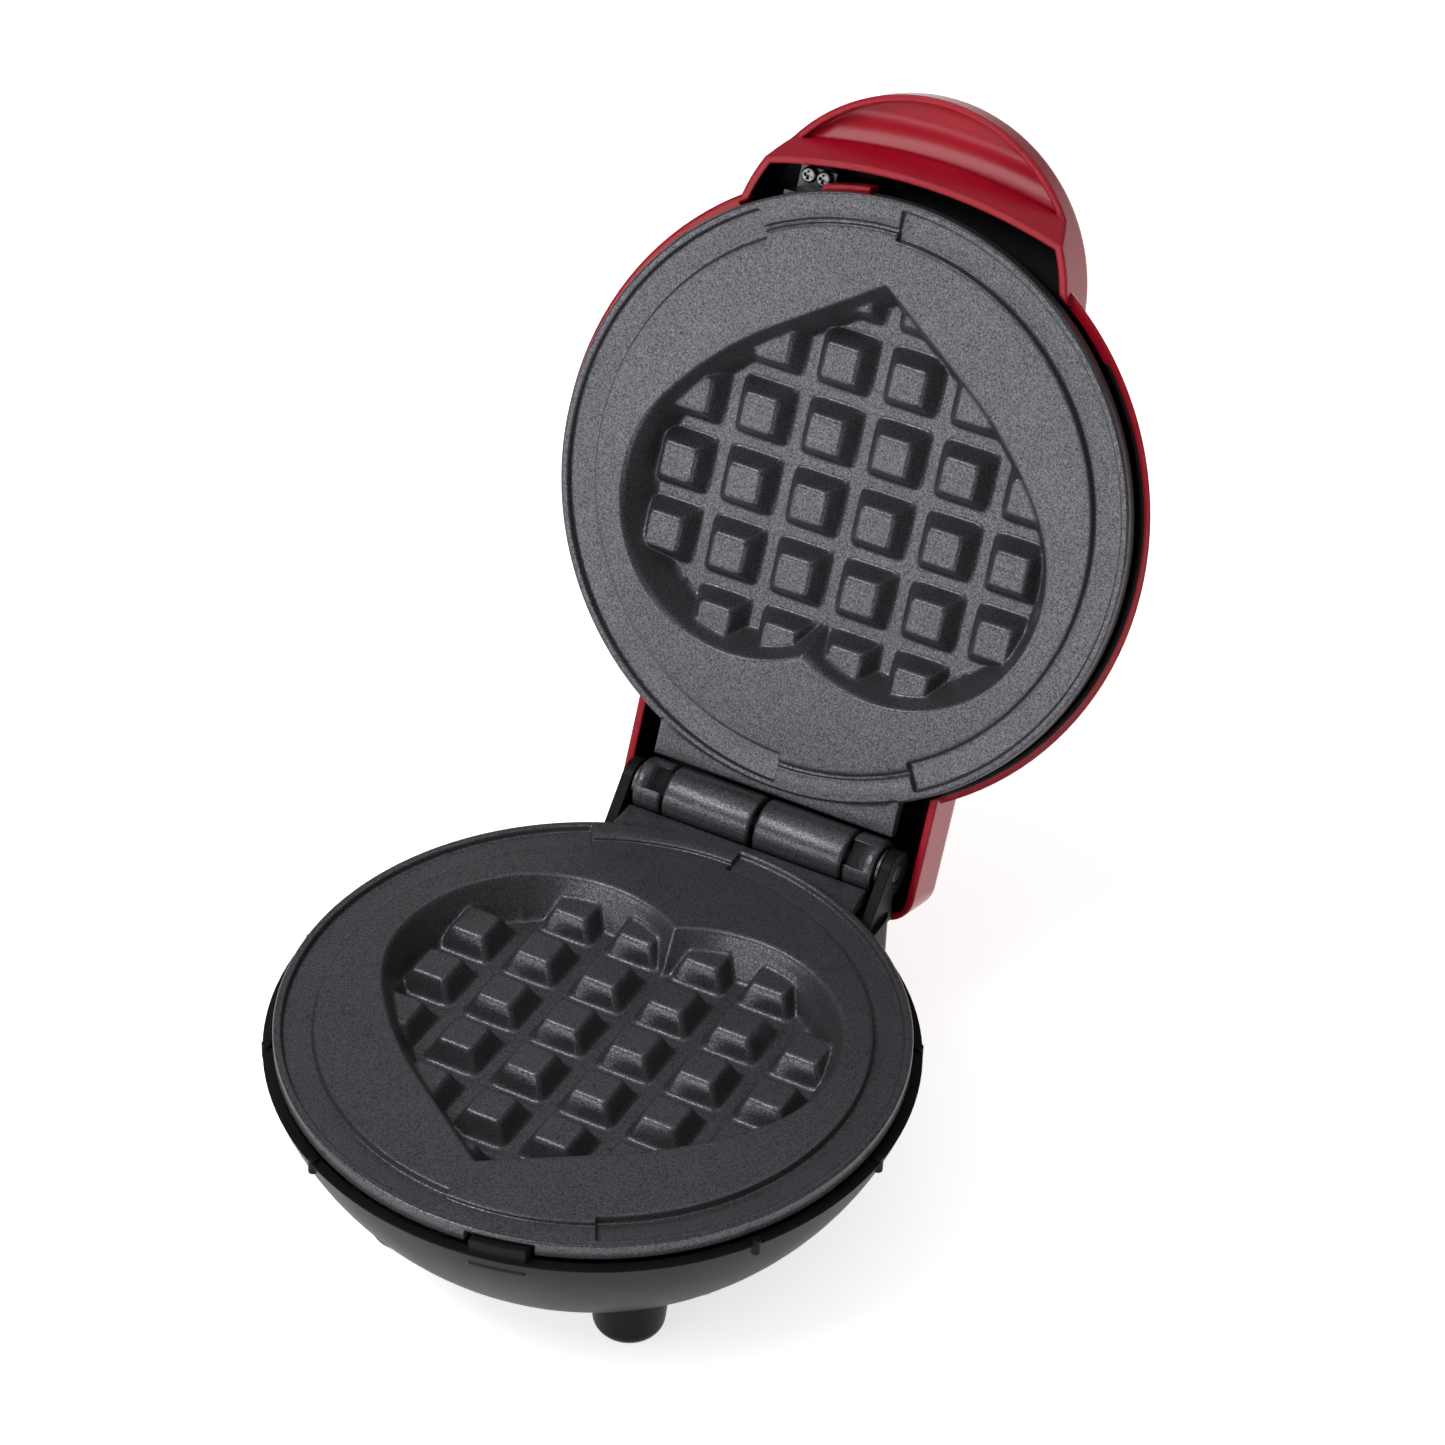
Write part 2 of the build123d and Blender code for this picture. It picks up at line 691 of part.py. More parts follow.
def lid_shell():
    """Dome, handle and hinge hood in one moulding."""
    body = dome_solid(0) + hood_solid(0) + handle_solid()
    body -= dome_solid(shell_wall)
    body -= hood_solid(hood_wall)
    body -= lip_pocket()
    body += ring(58.3, 60.0, shell_rim_z - 1, pocket_roof_z + 0.5) & block(-17.8, -8.2, -63, -50, 0, 30)
    for x in bracket_screw_xs:
        body += rod(2.4, x, bracket_screw_y, bracket_z + sheet, pocket_roof_z + 1.0)
    for x in bracket_screw_xs:
        body -= rod(1.0, x, bracket_screw_y, bracket_z, pocket_roof_z + 0.5)
    for x in (-20, 20):
        body += rod(2.5, x, 55, cook_gap + flange_thickness + 0.05, hood_top_z - 1)
    body -= rod(2.7, 0, lens_y, 10, 40)
    return body


def lid_bracket():
    """Z-shaped strap from the back of the upper plate to the shell."""
    flange_back = cook_gap + flange_thickness
    x_low = bracket_screw_xs[0] - bracket_margin
    x_high = bracket_screw_xs[1] + bracket_margin
    body = block(x_low, x_high, -53.5, -47.5, flange_back, flange_back + sheet)
    body += block(x_low, x_high, -54.1, -53.5, flange_back, bracket_z + sheet)
    body += block(x_low, x_high, bracket_screw_y - 1.6, -53.5, bracket_z, bracket_z + sheet)
    for x in bracket_screw_xs:
        body -= rod(1.1, x, bracket_screw_y, bracket_z - 1, bracket_z + 2)
    return body


def lid_bracket_screws():
    """Two small bright screws behind the handle."""
    return [
        screw(x, bracket_screw_y, bracket_z, pocket_roof_z + 0.3, shank=0.95, head=1.6, head_height=1.1)
        for x in bracket_screw_xs
    ]


def indicator_lens():
    """Clear window of the indicator lamp in the top of the lid."""
    top = shell_top_z - 1.6
    body = rod(2.6, 0, lens_y, top - 3, top + 0.4)
    body = fillet(body.faces().sort_by(Axis.Z)[-1].edges(), 0.5)
    return body


def indicator_lamp():
    """Neon lamp behind the lens."""
    top = shell_top_z - 4.7
    return rod(2.0, 0, lens_y, top - 2.2, top) + rod(1.0, 0, lens_y, top - 3.0, top - 2.0)


def lid_leads():
    """Leads that rise from the upper cold pins and run back into the hinge hood."""
    level = cook_gap - reflector_z + sheet + 1.35
    low = cook_gap - heater_z + 1.15
    pieces = []
    for side in (-1, 1):
        x = side * pin_end_x
        route = [(x, pin_end_y, low), (x, pin_end_y, level), (x, 45, level), (x, 57, 12.8), (x, 60.5, 8.5)]
        pieces.append(tube(route, 1.1, 1.8))
    return pieces


# --- nodes ---
def under_lid(pieces):
    """Turn lower-plate pieces over and open them with the lid."""
    if isinstance(pieces, list):
        return [opened(to_upper(piece)) for piece in pieces]
    return opened(to_upper(pieces))


def swung(pieces):
    """Open pieces that were modelled in the shut lid."""
    if isinstance(pieces, list):
        return [opened(piece) for piece in pieces]
    return opened(pieces)


def lid_screws():
    """Short screws that hold the upper reflector to the upper plate."""
    return [screw(x, y, plate_boss_bottom - sheet, plate_boss_bottom + 8) for x, y in plate_boss_spots]


nodes = {
    "base_housing": base_housing(),
    "bottom_cover": bottom_cover(),
    "bottom_cover_screws": hatch_screws(),
    "foot_front_left": foot(-front_foot_x, front_foot_y),
    "foot_front_right": foot(front_foot_x, front_foot_y),
    "foot_rear_left": foot(-rear_foot_x, rear_foot_y),
    "foot_rear_right": foot(rear_foot_x, rear_foot_y),
    "lower_plate": casting(),
    "lower_plate_screws": plate_screws(),
    "lower_heater": heater(),
    "lower_heater_clamps": heater_clamps(),
    "lower_heater_clamp_screws": heater_clamp_screws(),
    "lower_reflector": reflector(),
    "thermostat": thermostat(),
    "thermostat_clip": thermostat_clip(),
    "thermal_fuse": thermal_fuse(),
    "fuse_clip": fuse_clip(),
    "terminal_block": terminal_block(),
    "terminal_screws": terminal_screws(),
    "cord_gland": cord_gland(),
    "cord_clamp": cord_clamp(),
    "cord_clamp_screws": cord_clamp_screws(),
    "feed_leads": feed_leads(),
    "heater_lead_left": heater_lead(-1),
    "heater_lead_right": heater_lead(1),
    "hinge_pin": hinge_pin(),
    "hinge_washers": pin_washers(),
    "lid_shell": swung(lid_shell()),
    "lid_bracket": swung(lid_bracket()),
    "lid_bracket_screws": swung(lid_bracket_screws()),
    "indicator_lens": swung(indicator_lens()),
    "indicator_lamp": swung(indicator_lamp()),
    "lid_leads": swung(lid_leads()),
    "upper_plate": under_lid(casting()),
    "upper_heater": under_lid(heater()),
    "upper_heater_clamps": under_lid(heater_clamps()),
    "upper_heater_clamp_screws": under_lid(heater_clamp_screws()),
    "upper_reflector": under_lid(reflector()),
    "upper_reflector_screws": under_lid(lid_screws()),
}

os.makedirs("parts", exist_ok=True)
for name, shape in nodes.items():
    solid = Compound(children=shape) if isinstance(shape, list) else shape
    export_step(place(solid), "parts/" + name + ".step")
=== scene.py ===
import json
import math

import bmesh
import bpy
import numpy as np
from mathutils import Matrix, Vector


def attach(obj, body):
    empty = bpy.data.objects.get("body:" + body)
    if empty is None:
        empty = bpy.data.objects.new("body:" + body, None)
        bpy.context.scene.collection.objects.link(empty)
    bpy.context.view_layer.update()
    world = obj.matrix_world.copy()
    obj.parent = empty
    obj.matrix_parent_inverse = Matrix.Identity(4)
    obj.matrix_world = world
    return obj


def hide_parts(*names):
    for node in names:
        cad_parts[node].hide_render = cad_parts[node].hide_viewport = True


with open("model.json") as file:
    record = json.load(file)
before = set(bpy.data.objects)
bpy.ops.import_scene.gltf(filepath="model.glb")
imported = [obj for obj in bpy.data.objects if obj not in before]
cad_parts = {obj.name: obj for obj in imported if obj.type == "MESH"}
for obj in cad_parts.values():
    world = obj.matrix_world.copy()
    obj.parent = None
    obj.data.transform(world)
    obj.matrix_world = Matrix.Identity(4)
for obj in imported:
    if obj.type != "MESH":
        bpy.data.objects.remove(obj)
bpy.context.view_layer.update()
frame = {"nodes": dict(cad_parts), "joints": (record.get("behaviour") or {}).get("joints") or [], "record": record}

# Looks of the heart-mould waffle maker. Shapes are worked out in millimetres about the
# cooking face of a plate: X to the right, Y towards the hinge, Z out of the face.

MM = 0.001

# --- places, from the frame ---
hinge = frame["joints"][0]
HINGE = Vector(hinge["pos_m"])
OPEN_ANGLE = math.radians(hinge["range_deg"][1])
HINGE_REACH = 66.3          # plate centre to hinge pin, millimetres
COOK_GAP = 1.0
HINGE_RISE = COOK_GAP / 2

LOWER = Matrix.Translation(HINGE) @ Matrix.Scale(MM, 4) @ Matrix.Translation((0, -HINGE_REACH, -HINGE_RISE))
SHUT_LID = Matrix.Translation((0, HINGE_REACH, HINGE_RISE)) @ Matrix.Rotation(-OPEN_ANGLE, 4, "X")
LID = LOWER @ SHUT_LID @ Matrix.Translation((0, -HINGE_REACH, -HINGE_RISE))
UPPER = LID @ Matrix.Translation((0, 0, COOK_GAP)) @ Matrix.Rotation(math.pi, 4, "Y")

# --- plate casting ---
PLATE_RADIUS = 59.0
FLANGE = 3.4
GRID_RADIUS = 47.9          # the mould's fine grid reaches this far
RING_START = 48.6
BRIDGES = ((-30.0, 0.0), (150.0, 180.0))
TAB_HALF_WIDTH = 26.0
TAB_REAR = 60.2
TAB_SINK = 0.45
NOTCH = (7.0, 19.6)
HEART_DEPTH = 8.3
HEART_DRAFT = math.radians(24.7)
HEART_TIP_Y = -42.9
SIDE_ANGLE = math.radians(55.5)
SIDE_RADIUS = 73.7
LOBE_X = 15.8
LOBE_Y = 6.8
LOBE_RADIUS = 28.9
LOBE_START = math.radians(-34.2)
PITCH = 14.23
FIRST_ROW = 3.5
BLOCK_HALF = 3.55
BLOCK_SINK = 3.75
BLOCK_SLOPE = 2.17
RIM_ROUNDING = 0.9
FLOOR_ROUNDING = 1.2
TOP_ROUNDING = 0.9
FOOT_ROUNDING = 0.9
PAN_DEPTH = 7.6             # below the flange
NOTCH_RADIUS = 57.3
CELLS_PER_PITCH = 38
BOSSES = ((37.7, -26.4), (-37.7, -26.4), (0, 44.0))
KNUCKLE_RADIUS = 5.6
KNUCKLE_ROUNDING = 0.7
BORE_RADIUS = 2.05
INNER_KNUCKLE = (0.5, 19.5)
OUTER_KNUCKLE = (-26.0, -20.0)
WINDOW_LOW = (-23.2, -2.6, 3.2)
WINDOW_HIGH = (-19.0, 2.6, 9.0)
WINDOW_TILT = math.radians(30)

# --- lid shell's masks for the painted shade, millimetres with the lid shut ---
DOME_CENTRE = (0, 0, -15.2)
DOME_REACH = 64.96 - 1.2
HOOD_HALF_WIDTH = 31.6
HOOD_FRONT = 40
HOOD_REAR = 76.3
HOOD_TOP = 18.0
POCKET_CENTRE = (0, 51.65)
POCKET_RADIUS = 114.1
HANDLE_CENTRE = (0, -43.0)
HANDLE_REACH = 33.7
POCKET_TOP = 15.4
HOLLOW_BOTTOM = 4.7
CATCH_RADIUS = 60.3
CATCH_TOP = 7.0
CATCH_REAR = -40


# --- small maths ---
def soft_min(a, b, k):
    """Lower of two heights with the corner between them rounded."""
    h = np.maximum(k - np.abs(a - b), 0) / k
    return np.minimum(a, b) - h * h * k / 4


def soft_max(a, b, k):
    """Higher of two heights with the corner between them filled."""
    return -soft_min(-a, -b, k)


def step(t):
    """Smooth step from 0 to 1."""
    t = np.clip(t, 0, 1)
    return t * t * (3 - 2 * t)


# --- mesh helpers ---
def make_object(name, bm, matrix, body):
    """New object from a bmesh in millimetres, placed by matrix, that rides on a body."""
    bmesh.ops.recalc_face_normals(bm, faces=bm.faces)
    mesh = bpy.data.meshes.new(name)
    bm.to_mesh(mesh)
    bm.free()
    mesh.transform(matrix)
    for polygon in mesh.polygons:
        polygon.use_smooth = True
    piece = bpy.data.objects.new(name, mesh)
    bpy.context.scene.collection.objects.link(piece)
    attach(piece, body)
    return piece


def loft_rings(bm, rings):
    """Faces between successive closed rings of vertices."""
    for inner, outer in zip(rings, rings[1:]):
        count = len(inner)
        for i in range(count):
            j = (i + 1) % count
            bm.faces.new((inner[i], inner[j], outer[j], outer[i]))


def revolve_x(bm, profile, centre_y, centre_z, segments=72):
    """Closed solid of revolution about a line along X. The profile is a closed list of (x, radius)."""
    rings = []
    for x, radius in profile:
        ring = []
        for i in range(segments):
            a = 2 * math.pi * i / segments
            ring.append(bm.verts.new((x, centre_y + radius * math.sin(a), centre_z + radius * math.cos(a))))
        rings.append(ring)
    loft_rings(bm, rings + [rings[0]])


def add_box(bm, low, high):
    """Box between two corners."""
    size = [h - l for l, h in zip(low, high)]
    middle = [(l + h) / 2 for l, h in zip(low, high)]
    matrix = Matrix.Translation(middle) @ Matrix.Diagonal((*size, 1))
    return bmesh.ops.create_cube(bm, size=1, matrix=matrix)["verts"]


# --- plate shape ---
def heart_distance(x, y):
    """Distance from the heart's outline at the land, negative inside."""
    x = np.abs(x)
    side_x = LOBE_X + (LOBE_RADIUS - SIDE_RADIUS) * math.cos(LOBE_START)
    side_y = LOBE_Y + (LOBE_RADIUS - SIDE_RADIUS) * math.sin(LOBE_START)
    straight = x * math.cos(SIDE_ANGLE) - (y - HEART_TIP_Y) * math.sin(SIDE_ANGLE)
    side = np.hypot(x - side_x, y - side_y) - SIDE_RADIUS
    lobe = np.hypot(x - LOBE_X, y - LOBE_Y) - LOBE_RADIUS
    turn = np.arctan2(y - side_y, x - side_x)
    return np.where(turn < -SIDE_ANGLE, straight, np.where(turn < LOBE_START, side, lobe))


def mould_height(x, y):
    """Height of the cooking face: land, drafted heart wall, floor and grid blocks."""
    wall = heart_distance(x, y) / math.tan(HEART_DRAFT)
    z = soft_min(np.zeros_like(x), wall, RIM_ROUNDING)
    z = soft_max(z, np.full_like(x, -HEART_DEPTH), FLOOR_ROUNDING)
    dx = x - (np.floor(x / PITCH) + 0.5) * PITCH
    dy = y - FIRST_ROW - np.round((y - FIRST_ROW) / PITCH) * PITCH
    reach = (np.abs(dx) ** 9 + np.abs(dy) ** 9) ** (1 / 9)
    top = np.full_like(x, -BLOCK_SINK)
    sides = -BLOCK_SINK - (reach - BLOCK_HALF) * BLOCK_SLOPE
    block = soft_min(top, sides, TOP_ROUNDING)
    return soft_max(z, block, FOOT_ROUNDING)


def under_height(x, y):
    """Underside of the casting: flange, pan under the mould and the seat of the heater ring."""
    radius = np.hypot(x, y)
    pan = step((3.0 - heart_distance(x, y)) / 4)
    seat = step((radius - 24) / 3) * step((42 - radius) / 3)
    return -FLANGE - PAN_DEPTH * np.maximum(pan, seat)


def plate_angles():
    """Compass angles of the ring's stations, closer together where a step or corner lies."""
    angles = set(np.arange(-180, 180, 0.75).round(3))
    near = (-0.4, -0.22, -0.11, 0, 0.11, 0.22, 0.4)
    for bridge in BRIDGES:
        for end in bridge:
            angles.update(round((end + d + 180) % 360 - 180, 3) for d in near)
    corner = math.degrees(math.atan2(TAB_HALF_WIDTH, TAB_REAR))
    flank = math.degrees(math.asin(TAB_HALF_WIDTH / PLATE_RADIUS))
    for side in (-1, 1):
        angles.update(round(side * (corner + d), 3) for d in (-0.4, -0.15, 0, 0.15, 0.4, 1.0, 1.6, 2.2))
        angles.update(round(side * (flank + d), 3) for d in (-0.25, 0, 0.2))
    for x in NOTCH:
        middle = 180 - math.degrees(math.asin(x / PLATE_RADIUS))
        angles.update(round(middle + d, 3) for d in (-0.3, -0.1, 0.1, 0.3))
    return np.array(sorted(angles))


def ring_stations(turn):
    """Arrays of radius and height round the plate, from the land out, over the lip and under."""
    a = np.radians(turn)
    bridge = np.zeros_like(a)
    for low, high in BRIDGES:
        centre = (low + high) / 2
        off = np.abs((turn - centre + 180) % 360 - 180)
        bridge = np.maximum(bridge, step(((high - low) / 2 - off) / 0.4 + 0.5))
    rear = np.abs(turn) < 90
    with np.errstate(divide="ignore"):
        tab = np.minimum(TAB_REAR / np.cos(a), TAB_HALF_WIDTH / np.abs(np.sin(a)))
    edge = np.where(rear, np.maximum(PLATE_RADIUS, tab), PLATE_RADIUS)
    x = PLATE_RADIUS * np.sin(a)
    notch = (x > NOTCH[0]) & (x < NOTCH[1]) & ~rear
    inset = np.where(notch, NOTCH_RADIUS, edge)
    stations = []
    # radius, height in the drip channel, height on a bridge
    land_to_lip = [
        (RING_START, 0, 0), (50.8, 0, 0), (51.3, -0.01, 0), (51.46, -0.07, 0),
        (51.57, -0.22, 0), (51.65, -0.6, 0),
        (51.75, -1.25, 0), (51.87, -1.46, 0), (52.1, -1.5, 0), (52.75, -1.45, 0), (52.93, -1.43, -0.07),
        (53.03, -1.42, -0.35), (53.13, -1.4, -0.75), (53.85, -1.35, -0.75), (53.95, -1.34, -0.4),
        (54.05, -1.33, -0.08), (54.25, -1.3, 0), (56.8, -1.2, 0), (57.1, -1.17, 0), (57.24, -1.0, 0),
        (57.32, -0.6, 0), (57.42, -0.22, 0), (57.55, -0.06, 0), (57.75, 0, 0), (58.1, 0, 0),
    ]
    for radius, channel_z, bridge_z in land_to_lip:
        stations.append((np.full_like(a, radius), channel_z + (bridge_z - channel_z) * bridge))
    # the tab behind the lip lies a little lower, so the lip's own edge shows on it
    sink = -TAB_SINK * step((edge - PLATE_RADIUS) / 0.25)
    for share, depth in ((0.12, 0), (0.3, 0.05), (0.42, 0.5), (0.55, 0.95)):
        stations.append((58.1 + (PLATE_RADIUS - 0.5 - 58.1) * share / 0.55, sink * depth))
    for share in (0.15, 0.5):
        stations.append((58.6 + (edge - 0.5 - 58.6) * share, sink))
    for back, z in ((0.5, -0.01), (0.28, -0.06), (0.1, -0.2), (0.0, -0.45), (0.0, -0.9)):
        stations.append((edge - back, z + sink))
    for back, z in ((0.0, -1.5), (0.0, -2.9), (0.1, -3.2), (0.4, -3.38)):
        stations.append((inset - back, np.full_like(a, z)))
    for radius in (55.0, 51.0, 48.0, 45.5, 43.0, 40.5, 38.0, 34.0, 29.0, 26.0, 23.0, 17.0, 9.0, 3.0):
        full = np.full_like(a, radius)
        stations.append((full, under_height(full * np.sin(a), full * np.cos(a))))
    return stations


def plate_bmesh():
    """Whole casting: fine grid over the mould, ring round it, tab and bosses."""
    bm = bmesh.new()
    spacing = PITCH / CELLS_PER_PITCH
    reach = int(GRID_RADIUS / spacing) + 1
    xs = np.arange(-reach, reach + 1) * spacing
    ys = FIRST_ROW + np.arange(-reach - 10, reach + 11) * spacing
    gx, gy = np.meshgrid(xs, ys, indexing="ij")
    gz = mould_height(gx, gy)
    inside = np.hypot(gx, gy) < GRID_RADIUS
    verts = {}
    cells = inside[:-1, :-1] & inside[1:, :-1] & inside[:-1, 1:] & inside[1:, 1:]

    def corner(i, j):
        if (i, j) not in verts:
            verts[i, j] = bm.verts.new((gx[i, j], gy[i, j], gz[i, j]))
        return verts[i, j]

    for i, j in zip(*np.nonzero(cells)):
        bm.faces.new((corner(i, j), corner(i + 1, j), corner(i + 1, j + 1), corner(i, j + 1)))
    grid_rim = [e for e in bm.edges if e.is_boundary]

    turn = plate_angles()
    a = np.radians(turn)
    rings = []
    for radius, z in ring_stations(turn):
        rings.append([bm.verts.new(p) for p in zip(radius * np.sin(a), radius * np.cos(a), z)])
    loft_rings(bm, rings)
    middle = bm.verts.new((0, 0, -FLANGE - PAN_DEPTH))
    last = rings[-1]
    for i in range(len(last)):
        bm.faces.new((last[i], last[(i + 1) % len(last)], middle))
    ring_rim = [bm.edges.get((rings[0][i], rings[0][(i + 1) % len(a)])) for i in range(len(a))]
    bmesh.ops.triangle_fill(bm, edges=grid_rim + ring_rim, use_beauty=True)
    for x, y in BOSSES:
        place = Matrix.Translation((x, y, -11.6))
        bmesh.ops.create_cone(
            bm, cap_ends=True, segments=32, radius1=3.2, radius2=3.7, depth=16.0, matrix=place)
    return bm


def knuckle_bmesh():
    """Hinge barrels of one casting with their straps."""
    bm = bmesh.new()
    for low, high in (INNER_KNUCKLE, OUTER_KNUCKLE):
        profile = [(low, BORE_RADIUS)]
        for k in range(5):
            t = math.pi / 2 * k / 4
            x = low + KNUCKLE_ROUNDING * (1 - math.sin(t))
            profile.append((x, KNUCKLE_RADIUS - KNUCKLE_ROUNDING * (1 - math.cos(t))))
        profile = [profile[0]] + profile[:0:-1]
        mirrored = [(low + high - x, r) for x, r in reversed(profile)]
        revolve_x(bm, profile + mirrored, HINGE_REACH, HINGE_RISE)
        strap_low = (low + 0.3, TAB_REAR - 1.2, -FLANGE + 0.1)
        strap_high = (high - 0.3, HINGE_REACH - 3.0, -0.25)
        strap = add_box(bm, strap_low, strap_high)
        edges = {e for v in strap for e in v.link_edges}
        bmesh.ops.bevel(bm, geom=list(edges), offset=0.3, segments=2, affect="EDGES")
    return bm


def cut(piece, low, high, tilt, pivot):
    """Take a box away from a piece. The box is in the piece's machine frame, in millimetres."""
    bm = bmesh.new()
    add_box(bm, low, high)
    mesh = bpy.data.meshes.new("cutter")
    bm.to_mesh(mesh)
    bm.free()
    mesh.transform(Matrix.Translation(pivot) @ Matrix.Rotation(tilt, 4, "X"))
    cutter = bpy.data.objects.new("cutter", mesh)
    bpy.context.scene.collection.objects.link(cutter)
    modifier = piece.modifiers.new("cut", "BOOLEAN")
    modifier.operation = "DIFFERENCE"
    modifier.solver = "EXACT"
    modifier.object = cutter
    bpy.context.view_layer.update()
    result = bpy.data.meshes.new_from_object(piece.evaluated_get(bpy.context.evaluated_depsgraph_get()))
    piece.modifiers.clear()
    piece.data = result
    bpy.data.objects.remove(cutter)


def build_plate(name, matrix, body):
    """Casting and knuckles as one piece."""
    knuckles = bpy.data.meshes.new("knuckles")
    bm = knuckle_bmesh()
    bmesh.ops.recalc_face_normals(bm, faces=bm.faces)
    bm.to_mesh(knuckles)
    bm.free()
    holder = bpy.data.objects.new("knuckles", knuckles)
    bpy.context.scene.collection.objects.link(holder)
    cut(holder, WINDOW_LOW, WINDOW_HIGH, WINDOW_TILT, (0, HINGE_REACH, HINGE_RISE))
    bm = plate_bmesh()
    bm.from_mesh(holder.data)
    bpy.data.objects.remove(holder)
    return make_object(name, bm, matrix, body)


# --- materials ---
def new_material(name):
    """Node material with its shader, tree and object coordinates."""
    material = bpy.data.materials.new(name)
    material.use_nodes = True
    tree = material.node_tree
    shader = tree.nodes["Principled BSDF"]
    place = tree.nodes.new("ShaderNodeTexCoord").outputs["Object"]
    return material, tree, shader, place


def noise(tree, place, size_mm, detail=2.0, rough=0.5):
    """Noise whose features are about size_mm across."""
    node = tree.nodes.new("ShaderNodeTexNoise")
    node.inputs["Scale"].default_value = 1 / (size_mm * MM)
    node.inputs["Detail"].default_value = detail
    node.inputs["Roughness"].default_value = rough
    tree.links.new(place, node.inputs["Vector"])
    return node.outputs["Fac"]


def ramp(tree, source, stops):
    """Colour ramp from (position, colour) stops."""
    node = tree.nodes.new("ShaderNodeValToRGB")
    band = node.color_ramp
    while len(band.elements) < len(stops):
        band.elements.new(0.5)
    for element, (position, colour) in zip(band.elements, stops):
        element.position = position
        element.color = (*colour, 1)
    tree.links.new(source, node.inputs["Fac"])
    return node.outputs["Color"]


def spread(tree, source, low, high, low_in=0.3, high_in=0.7):
    """Map a noise value onto a range."""
    node = tree.nodes.new("ShaderNodeMapRange")
    node.inputs["From Min"].default_value = low_in
    node.inputs["From Max"].default_value = high_in
    node.inputs["To Min"].default_value = low
    node.inputs["To Max"].default_value = high
    tree.links.new(source, node.inputs["Value"])
    return node.outputs["Result"]


def bump(tree, shader, height, distance_mm, strength=1.0, below=None):
    """Bump the shader's normal by a height."""
    node = tree.nodes.new("ShaderNodeBump")
    node.inputs["Strength"].default_value = strength
    node.inputs["Distance"].default_value = distance_mm * MM
    tree.links.new(height, node.inputs["Height"])
    if below is not None:
        tree.links.new(below, node.inputs["Normal"])
    tree.links.new(node.outputs["Normal"], shader.inputs["Normal"])
    return node.outputs["Normal"]


def grey(value, warm=0.0):
    """Neutral colour, slightly warm or cool."""
    return (value * (1 + warm), value, value * (1 - warm))


def coating(name, dark, flake, roughness, grain):
    """Non-stick coating: metallic flakes in a near-black base."""
    material, tree, shader, place = new_material(name)
    flakes = noise(tree, place, 0.36, 2.0, 0.7)
    orange_peel = noise(tree, place, 0.9, 2.0, 0.6)
    broad = noise(tree, place, 11.0, 3.0)
    mottle = spread(tree, broad, -0.012, 0.012)
    shifted = tree.nodes.new("ShaderNodeMath")
    tree.links.new(flakes, shifted.inputs[0])
    tree.links.new(mottle, shifted.inputs[1])
    speck = shifted.outputs[0]
    middle = tuple(0.5 * c for c in flake)
    tree.links.new(
        ramp(tree, speck, ((0.30, dark), (0.52, middle), (0.74, flake))), shader.inputs["Base Color"])
    tree.links.new(spread(tree, speck, 0.25, 0.85, 0.36, 0.64), shader.inputs["Metallic"])
    tree.links.new(spread(tree, broad, roughness - 0.03, roughness + 0.04), shader.inputs["Roughness"])
    shader.inputs["Specular IOR Level"].default_value = 0.4
    peel = bump(tree, shader, orange_peel, grain * 0.8, 0.8)
    bump(tree, shader, flakes, grain, 1.0, peel)
    return material


def round_edges(tree, radius_mm):
    """Normal that rounds sharp edges over a small radius."""
    node = tree.nodes.new("ShaderNodeBevel")
    node.samples = 6
    node.inputs["Radius"].default_value = radius_mm * MM
    return node.outputs["Normal"]


def position_tests(tree, place):
    """Small kit for masks worked out from the position in the lid's own millimetres."""
    turned = tree.nodes.new("ShaderNodeVectorRotate")
    turned.rotation_type = "X_AXIS"
    turned.inputs["Center"].default_value = HINGE
    turned.inputs["Angle"].default_value = OPEN_ANGLE
    tree.links.new(place, turned.inputs["Vector"])
    shift = tree.nodes.new("ShaderNodeVectorMath")
    shift.operation = "SUBTRACT"
    shift.inputs[1].default_value = LOWER @ Vector((0, 0, 0))
    tree.links.new(turned.outputs["Vector"], shift.inputs[0])
    scaled = tree.nodes.new("ShaderNodeVectorMath")
    scaled.operation = "SCALE"
    scaled.inputs["Scale"].default_value = 1 / MM
    tree.links.new(shift.outputs["Vector"], scaled.inputs[0])
    spot = scaled.outputs["Vector"]

    def math_node(operation, a, b):
        node = tree.nodes.new("ShaderNodeMath")
        node.operation = operation
        for socket, value in zip(node.inputs, (a, b)):
            if isinstance(value, (int, float)):
                socket.default_value = value
            else:
                tree.links.new(value, socket)
        return node.outputs[0]

    def within(centre, radius):
        """1 inside a ball, or inside an upright cylinder when the centre has no height."""
        flat = tree.nodes.new("ShaderNodeVectorMath")
        flat.operation = "MULTIPLY"
        flat.inputs[1].default_value = (1, 1, 0 if len(centre) == 2 else 1)
        tree.links.new(spot, flat.inputs[0])
        distance = tree.nodes.new("ShaderNodeVectorMath")
        distance.operation = "DISTANCE"
        distance.inputs[1].default_value = (*centre, 0)[:3]
        tree.links.new(flat.outputs["Vector"], distance.inputs[0])
        return math_node("LESS_THAN", distance.outputs["Value"], radius)

    split = tree.nodes.new("ShaderNodeSeparateXYZ")
    tree.links.new(spot, split.inputs[0])
    return split.outputs, math_node, within


